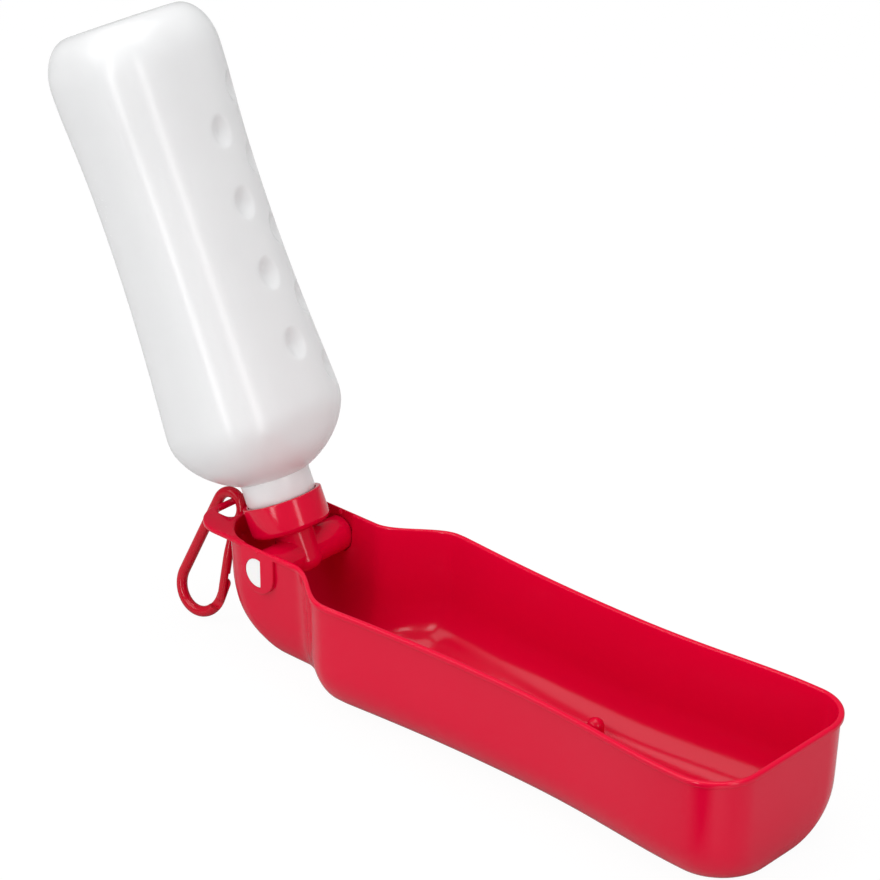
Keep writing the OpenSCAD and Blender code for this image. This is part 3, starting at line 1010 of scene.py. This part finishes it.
@dataclass
class Clip:
    """The snap clip: a bent round bar with a gate that laps its hook."""

    length: float = 57.0
    width: float = 25.4
    bar: float = 4.4
    loop: float = 17.2
    gate_r: float = 1.9
    root_angle: float = -50.0
    root_gap: float = 0.4
    tip_rise: float = 7.0
    lap: float = 0.25
    ground_gap: float = 0.4
    place_y: float = -3.5
    roll: float = 16.0
    ear_reach: float = 38.4
    bar_width: float = 3.0

    def __post_init__(self) -> None:
        """Works out the arcs' radii, the hook's place and how far the clip leans."""
        self.wire = self.bar / 2
        self.loop_r = self.loop / 2 - self.wire
        self.hook_r = self.width / 2 - self.wire
        self.hook_z = (self.loop + self.width) / 2 - self.length
        self.loop_height = RIM_Z - 1 - 1.2
        fall = self.loop_height - self.ground_gap - self.wire
        side = math.radians(self.roll)
        upright = 1.0
        for _ in range(2):
            low = self.hook_r * math.sqrt(1 - (math.sin(side) * upright) ** 2)
            upright = (fall - low) / (-self.hook_z * math.cos(side))
        self.tilt = math.acos(upright)
        self.flare = math.degrees(math.asin((self.hook_r - self.loop_r) / -self.hook_z))
        self.tip_z = self.hook_z + self.tip_rise

    def placed(self, points: Array) -> Array:
        """Carries points from the clip's own plane to where it hangs, leaning out and sideways.

        Args:
            points: Points in the clip's own axes, shape (..., 3).

        Returns:
            Points from the hinge axis, of the same shape.
        """
        turn = np.array(Matrix.Rotation(self.tilt, 3, "Y")
                        @ Matrix.Rotation(-math.radians(self.roll), 3, "X"))
        x = -self.ear_reach + self.bar_width / 2 + 1.3
        return points @ turn.T + [x, self.place_y, self.loop_height - HINGE_Z]

    def sweep(self, path: Array, radius: Array, steps: int = 28) -> Array:
        """Round sections along a path in the XZ plane, square to its heading.

        Args:
            path: Points (x, z), shape (m, 2).
            radius: Radius at each point, shape (m,).
            steps: Points round a section.

        Returns:
            Rings, shape (m, steps, 3), in the place where the clip hangs.
        """
        ahead = np.gradient(path, axis=0)
        ahead /= np.linalg.norm(ahead, axis=1, keepdims=True)
        out = np.stack([ahead[:, 1], -ahead[:, 0]], -1)
        t = np.linspace(0, 2 * np.pi, steps, endpoint=False)
        u = radius[:, None] * np.cos(t)
        x = path[:, :1] + u * out[:, :1]
        z = path[:, 1:] + u * out[:, 1:]
        y = radius[:, None] * np.sin(t)
        return self.placed(np.stack([x, y, z], -1))

    def lap_box(self, low: float, high: float) -> bpy.types.Object:
        """A box across the hook's end, used to take half of its thickness away.

        Args:
            low: Its lower side across the clip.
            high: Its upper side across the clip.

        Returns:
            The box, in the place where the clip hangs.
        """
        x0, x1 = self.hook_r - self.bar, self.hook_r + 12
        z0, z1 = self.hook_z - self.bar, self.tip_z + self.bar
        outline = np.array([[x0, z0], [x1, z0], [x1, z1], [x0, z1]])
        rings = np.stack([np.column_stack([outline[:, 0], np.full(4, y), outline[:, 1]])
                          for y in (low, high)])
        box = tube_mesh("lap_box", self.placed(rings))
        turn_outwards(box)
        return box

    def build_body(self) -> bpy.types.Object:
        """The bar from the gate's root over the loop, down the spine and round the hook.

        Returns:
            The clip's body.
        """
        start = self.root_angle + math.degrees((self.gate_r + self.root_gap) / self.loop_r)
        top = arc(0, 0, self.loop_r, start, 180 - self.flare, 40)
        hook = arc(0, self.hook_z, self.hook_r, 180 - self.flare, 360, 64)
        straight = np.linspace(top[-1], hook[0], 12)[1:-1]
        rise = np.linspace(hook[-1], [self.hook_r, self.tip_z], 6)[1:]
        turn = np.linspace(0, np.pi / 2 - 0.05, 9)[1:]
        dome = np.column_stack([np.full(8, self.hook_r), self.tip_z + self.wire * np.sin(turn)])
        path = np.concatenate([top, straight, hook, rise, dome])
        radius = np.full(len(path), self.wire)
        radius[0] = self.wire - 0.4
        radius[-8:] = self.wire * np.cos(turn)
        obj = tube_mesh("clip_bar", self.sweep(path, radius))
        turn_outwards(obj)
        boolean(obj, self.lap_box(self.lap - 10, self.lap), "DIFFERENCE")
        return obj

    def build_gate(self) -> bpy.types.Object:
        """The gate: a round root, a bar and a round end that is halved where it laps the hook.

        Returns:
            The clip's gate.
        """
        a = math.radians(self.root_angle)
        root = np.array([self.loop_r * math.cos(a), self.loop_r * math.sin(a)])
        end = np.array([self.hook_r + 0.8, self.hook_z + 1])
        ahead = (end - root) / np.linalg.norm(end - root)
        turn = np.linspace(-np.pi / 2 + 0.05, 0, 9)[:-1]
        first = root + np.outer(self.gate_r * np.sin(turn), ahead)
        last = end + np.outer(self.gate_r * np.sin(-turn[::-1]), ahead)
        middle = np.linspace(root, end, 20)
        waist = 1 - 0.22 * np.exp(-((np.linspace(0, 1, 20) - 0.22) / 0.12) ** 2)
        path = np.concatenate([first, middle, last])
        radius = self.gate_r * np.concatenate([np.cos(turn), waist, np.cos(turn[::-1])])
        obj = tube_mesh("gate_bar", self.sweep(path, radius))
        turn_outwards(obj)
        boolean(obj, self.lap_box(-self.lap, 10), "DIFFERENCE")
        return obj

    def dress(self, finishes: Finishes) -> None:
        """Builds both pieces and puts them in the place of their CAD nodes."""
        finish_piece(self.build_body(), finishes, Part.CLIP, "clip", "clip_body", 35)
        finish_piece(self.build_gate(), finishes, Part.CLIP, "gate", "clip_gate", 35)


# ---------------------------------------------------------------- valve


@dataclass
class Valve:
    """The pieces of the valve whose CAD shapes are kept and get a finish."""

    pieces: dict = field(default_factory=lambda: {
        "valve_core": Part.CORE, "seal_ring_near": Part.SEAL, "seal_ring_far": Part.SEAL,
        "cap_washer": Part.WASHER})

    def dress(self, finishes: Finishes) -> None:
        """Gives each node its material."""
        for name, part in self.pieces.items():
            finishes.dress(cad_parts[name], part)
            LOG.info("%s: %s", name, part.value)


# ---------------------------------------------------------------- studio


@dataclass
class Studio:
    """White floor, soft lamps and the camera."""

    azimuth: float = 42.69
    elevation: float = 26.6
    target: tuple[float, float, float] = (-42.6, 0.0, 112.3)
    distance: float = 1337.5
    lens: float = 148.06
    sensor: float = 36.0
    aim: tuple[float, float, float] = (-0.03, 0.0, 0.09)
    world_level: float = 0.56
    mirror_level: float = 0.22
    corner: tuple[float, float] = (0.107, -0.021)
    floor_grey: float = 0.55
    # painted shade and painted light: the floor's dark and bright wedges, seen only in reflections
    # and as light
    reflected_shade_wedge: float = 0.49
    reflected_light_wedge: float = 0.4
    floor_glow: float = 1.04
    floor_share: float = 0.92

    def camera(self) -> None:
        """A level camera on the line through the target, at the photograph's angle."""
        az, el = math.radians(self.azimuth), math.radians(self.elevation)
        back = Vector((math.sin(az) * math.cos(el), -math.cos(az) * math.cos(el), math.sin(el)))
        data = bpy.data.cameras.new("camera")
        data.lens = self.lens
        data.sensor_width = self.sensor
        data.clip_end = 20
        cam = bpy.data.objects.new("camera", data)
        cam.location = (Vector(self.target) + back * self.distance) * MM
        cam.rotation_euler = back.to_track_quat("Z", "Y").to_euler()
        bpy.context.scene.collection.objects.link(cam)
        bpy.context.scene.camera = cam

    def lamp(self, name: str, place: tuple, size: tuple, power: float) -> None:
        """A rectangular soft lamp, aimed at the object's middle.

        Args:
            name: The lamp's name.
            place: Its place in metres.
            size: Width and height in metres.
            power: In watts.
        """
        data = bpy.data.lights.new(name, "AREA")
        data.shape = "RECTANGLE"
        data.size, data.size_y = size
        data.energy = power
        obj = bpy.data.objects.new(name, data)
        obj.location = place
        back = Vector(place) - Vector(self.aim)
        obj.rotation_euler = back.to_track_quat("Z", "Y").to_euler()
        bpy.context.scene.collection.objects.link(obj)

    def world(self) -> None:
        """An even sky: white where the camera sees it, dimmer in reflections and as light."""
        world = bpy.data.worlds.new("studio")
        world.use_nodes = True
        bpy.context.scene.world = world
        tree = world.node_tree
        path = tree.nodes.new("ShaderNodeLightPath")
        seen = tree.nodes.new("ShaderNodeMath")
        seen.operation = "MAXIMUM"
        tree.links.new(path.outputs["Is Camera Ray"], seen.inputs[0])
        tree.links.new(path.outputs["Is Transmission Ray"], seen.inputs[1])
        mirrored = tree.nodes.new("ShaderNodeMapRange")
        mirrored.inputs["To Min"].default_value = self.world_level
        mirrored.inputs["To Max"].default_value = self.mirror_level
        tree.links.new(path.outputs["Is Glossy Ray"], mirrored.inputs["Value"])
        level = tree.nodes.new("ShaderNodeMapRange")
        tree.links.new(mirrored.outputs[0], level.inputs["To Min"])
        level.inputs["To Max"].default_value = 1.0
        tree.links.new(seen.outputs[0], level.inputs["Value"])
        ground = tree.nodes["Background"]
        ground.inputs["Color"].default_value = (1, 1, 1, 1)
        tree.links.new(level.outputs[0], ground.inputs["Strength"])

    def floor(self) -> None:
        """A wide white floor that keeps the object's shadow and meets the sky with no line.

        The camera sees it plain. In reflections and as light only it has a painted dark wedge and a
        painted bright wedge before the tray's near corner, in place of a studio's cards, which put a
        painted reflection of shade and of light on that corner.
        """
        mesh = bpy.data.meshes.new("floor")
        r, z = 4.0, -0.0004
        mesh.from_pydata([(-r, -r, z), (r, -r, z), (r, r, z), (-r, r, z)], [], [(0, 1, 2, 3)])
        obj = bpy.data.objects.new("floor", mesh)
        bpy.context.scene.collection.objects.link(obj)
        f = Finish("floor_white")
        seen = f.node("ShaderNodeLightPath", {}, {})
        place = f.node("ShaderNodeSeparateXYZ", {}, {0: f.place()})
        x, y = (Value(f, place.socket.node.outputs[i]) for i in range(2))

        def past(x_share: float, y_share: float, sharpness: float) -> Value:
            """0 to 1 past a line through the corner; the shares are the line's normal."""
            away = (x - self.corner[0]) * x_share + (y - self.corner[1]) * y_share
            return f.clamped(away * sharpness)

        left = past(0.985, -0.174, 40.0)
        right = past(-0.707, -0.707, 40.0)
        beyond = past(-0.208, -0.978, 25.0)
        # painted shade and painted light: wedges hidden from the camera that show as a painted
        # reflection on the tray's near corner
        shade = left * right * (1 - seen)
        light = (1 - right) * beyond * (1 - seen)
        grey = shade * -self.reflected_shade_wedge + light * self.reflected_light_wedge + self.floor_grey
        f.set(Base_Color=f.blend(grey, (0, 0, 0, 1), (1, 1, 1, 1)), Roughness=0.9,
              Specular_IOR_Level=0.0)
        glow = f.node("ShaderNodeEmission", {}, {"Color": (1, 1, 1, 1), "Strength": self.floor_glow})
        out = f.tree.nodes["Material Output"]
        both = f.node("ShaderNodeMixShader", {},
                      {0: seen * self.floor_share, 1: Value(f, f.shader.outputs[0]), 2: glow})
        f.tree.links.new(both.socket, out.inputs["Surface"])
        mesh.materials.append(f.material)

    def build(self) -> None:
        """Sets camera, lamps, sky, floor and the plain view transform."""
        self.camera()
        self.lamp("key", (-0.75, -1.15, 1.25), (1.1, 1.1), 8.0)
        self.lamp("left strip", (0.2, -1.38, 0.62), (0.3, 1.1), 6.5)
        self.lamp("right strip", (1.33, -0.25, 0.62), (0.26, 1.1), 4.5)
        self.lamp("top", (-0.15, 0.1, 1.5), (1.4, 1.0), 11.0)
        self.world()
        self.floor()
        bpy.context.scene.view_settings.view_transform = "Standard"


def main() -> None:
    """Builds and dresses every piece, then sets the studio."""
    logging.basicConfig(level=logging.INFO, format="%(message)s")
    finishes = Finishes()
    finishes.build()
    for piece in (Tray(), ScrewCap(), Bottle(), Clip(), Valve()):
        piece.dress(finishes)
    Studio().build()


if __name__ == "__main__":
    main()
